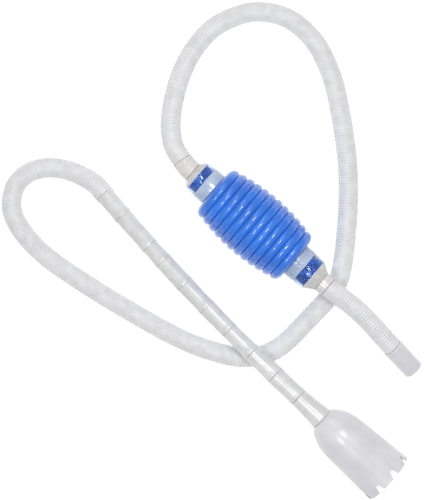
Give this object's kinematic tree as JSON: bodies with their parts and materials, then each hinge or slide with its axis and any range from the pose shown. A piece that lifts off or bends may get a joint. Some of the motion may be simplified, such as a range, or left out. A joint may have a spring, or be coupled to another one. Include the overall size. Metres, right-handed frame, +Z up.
{
  "type": "siphon bulb pump",
  "caption": "Hand-squeezed accordion bulb with a check valve at each end, a long intake hose with a sectioned stem and notched bell nozzle, and a short outlet hose.",
  "frame": {"origin": "centre of the underside of the box around the bulb, valves, stem and nozzle, with the intake hose left out", "axes": "+X along the bulb from its inlet to its outlet, +Z up from the surface that the pump lies on"},
  "size_m": [0.432, 0.3214, 0.0624],
  "materials": {
    "bulb_rubber": "satin moulded rubber",
    "valve_blue": "gloss",
    "clear_plastic": "clear, slightly frosted",
    "silicone": "matt silicone",
    "hose_film": "translucent corrugated film",
    "stem_plastic": "translucent satin",
    "frosted_plastic": "frosted, faintly lilac"
  },
  "bodies": {
    "inlet_side": {"bulb_bellows": "bulb_rubber", "inlet_valve_collar": "clear_plastic", "inlet_valve_gasket": "silicone", "inlet_valve_seat": "valve_blue", "inlet_valve_cap": "clear_plastic", "inlet_hose_cuff": "clear_plastic", "inlet_hose": "hose_film", "stem_hose_barb": "stem_plastic", "stem_coupler": "stem_plastic", "stem_section_1": "stem_plastic", "stem_section_2": "stem_plastic", "stem_section_3": "stem_plastic", "stem_section_4": "stem_plastic", "stem_section_5": "stem_plastic", "stem_section_6": "stem_plastic", "stem_section_7": "stem_plastic", "stem_section_8": "stem_plastic", "gravel_nozzle": "frosted_plastic"},
    "outlet_side": {"outlet_valve_collar": "clear_plastic", "outlet_valve_gasket": "silicone", "outlet_valve_seat": "valve_blue", "outlet_valve_cap": "clear_plastic", "outlet_hose_cuff": "clear_plastic", "outlet_hose": "hose_film", "outlet_end_cuff": "frosted_plastic"},
    "inlet_disc": {"inlet_valve_disc": "silicone"},
    "outlet_disc": {"outlet_valve_disc": "silicone"}
  },
  "joints": [
    {"name": "bulb_squeeze", "type": "slide", "parent": "inlet_side", "child": "outlet_side", "axis": [-1, 0, 0], "range_m": [0, 0.025], "stiffness_N_per_m": 800, "deforming": ["bulb_bellows"]},
    {"name": "inlet_disc_lift", "type": "slide", "parent": "inlet_side", "child": "inlet_disc", "axis": [1, 0, 0], "range_m": [0, 0.0025], "stiffness_N_per_m": 15},
    {"name": "outlet_disc_lift", "type": "slide", "parent": "outlet_side", "child": "outlet_disc", "axis": [1, 0, 0], "range_m": [0, 0.0025], "stiffness_N_per_m": 15}
  ]
}
